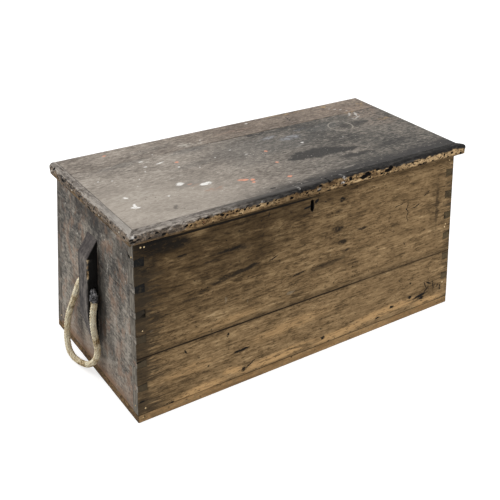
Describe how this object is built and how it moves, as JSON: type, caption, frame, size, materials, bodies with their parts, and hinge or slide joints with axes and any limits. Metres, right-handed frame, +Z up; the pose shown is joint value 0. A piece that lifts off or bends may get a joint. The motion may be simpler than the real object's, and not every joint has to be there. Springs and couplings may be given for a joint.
{
  "type": "sea chest",
  "caption": "Canted, dovetailed wooden sea chest with a hinged moulded lid, an inset lock, an inner till and a rope becket through a cleat at each end.",
  "frame": {"origin": "on the floor, under the middle of the bottom", "axes": "+X along the length, towards the end without a lid moulding; -Y the front with the keyhole; +Z up"},
  "size_m": [1.029, 0.456, 0.4658],
  "materials": {
    "bare_pine": "bare, weathered",
    "dark_pine": "worn dark paint",
    "lid_paint": "worn dark paint",
    "inner_pine": "bare, clean",
    "worn_pine": "bare, rubbed",
    "cleat_wood": "worn dark paint",
    "straw_rope": "three-strand natural fibre",
    "tarred_twine": "tarred",
    "rusty_iron": "rusted"
  },
  "bodies": {
    "chest": {"bottom_front_board": "worn_pine", "bottom_middle_board": "worn_pine", "bottom_back_board": "worn_pine", "front_lower_board": "bare_pine", "front_upper_board": "bare_pine", "front_lock_block": "bare_pine", "back_lower_board": "dark_pine", "back_upper_board": "dark_pine", "left_end_lower_board": "dark_pine", "left_end_upper_board": "dark_pine", "right_end_lower_board": "dark_pine", "right_end_upper_board": "dark_pine", "till_front": "inner_pine", "till_floor": "inner_pine", "lock_plate": "rusty_iron", "lock_case": "rusty_iron", "left_hinge_lower_leaf": "rusty_iron", "left_hinge_pin": "rusty_iron", "right_hinge_lower_leaf": "rusty_iron", "right_hinge_pin": "rusty_iron", "left_becket_cleat": "cleat_wood", "right_becket_cleat": "cleat_wood"},
    "lid": {"lid_front_board": "lid_paint", "lid_back_board": "lid_paint", "lid_front_moulding": "worn_pine", "lid_left_moulding": "lid_paint", "lid_catch": "rusty_iron", "lid_left_batten": "inner_pine", "lid_right_batten": "inner_pine", "left_hinge_upper_leaf": "rusty_iron", "right_hinge_upper_leaf": "rusty_iron"},
    "left_becket": {"left_becket_rope": "straw_rope", "left_becket_seizing": "tarred_twine"},
    "right_becket": {"right_becket_rope": "straw_rope", "right_becket_seizing": "tarred_twine"},
    "lock_bolt": {"lock_bolt": "rusty_iron"}
  },
  "joints": [
    {"name": "lid_hinge", "type": "hinge", "parent": "chest", "child": "lid", "pos_m": [0, 0.2007, 0.44115], "axis": [-1, 0, 0], "range_deg": [0, 105]},
    {"name": "left_becket_swing", "type": "hinge", "parent": "chest", "child": "left_becket", "pos_m": [-0.47503, 0, 0.23752], "axis": [0, 1, 0], "range_deg": [0, 120]},
    {"name": "right_becket_swing", "type": "hinge", "parent": "chest", "child": "right_becket", "pos_m": [0.47503, 0, 0.23752], "axis": [0, -1, 0], "range_deg": [0, 120]},
    {"name": "lock_bolt_slide", "type": "slide", "parent": "chest", "child": "lock_bolt", "axis": [1, 0, 0], "range_m": [0, 0.009]}
  ]
}
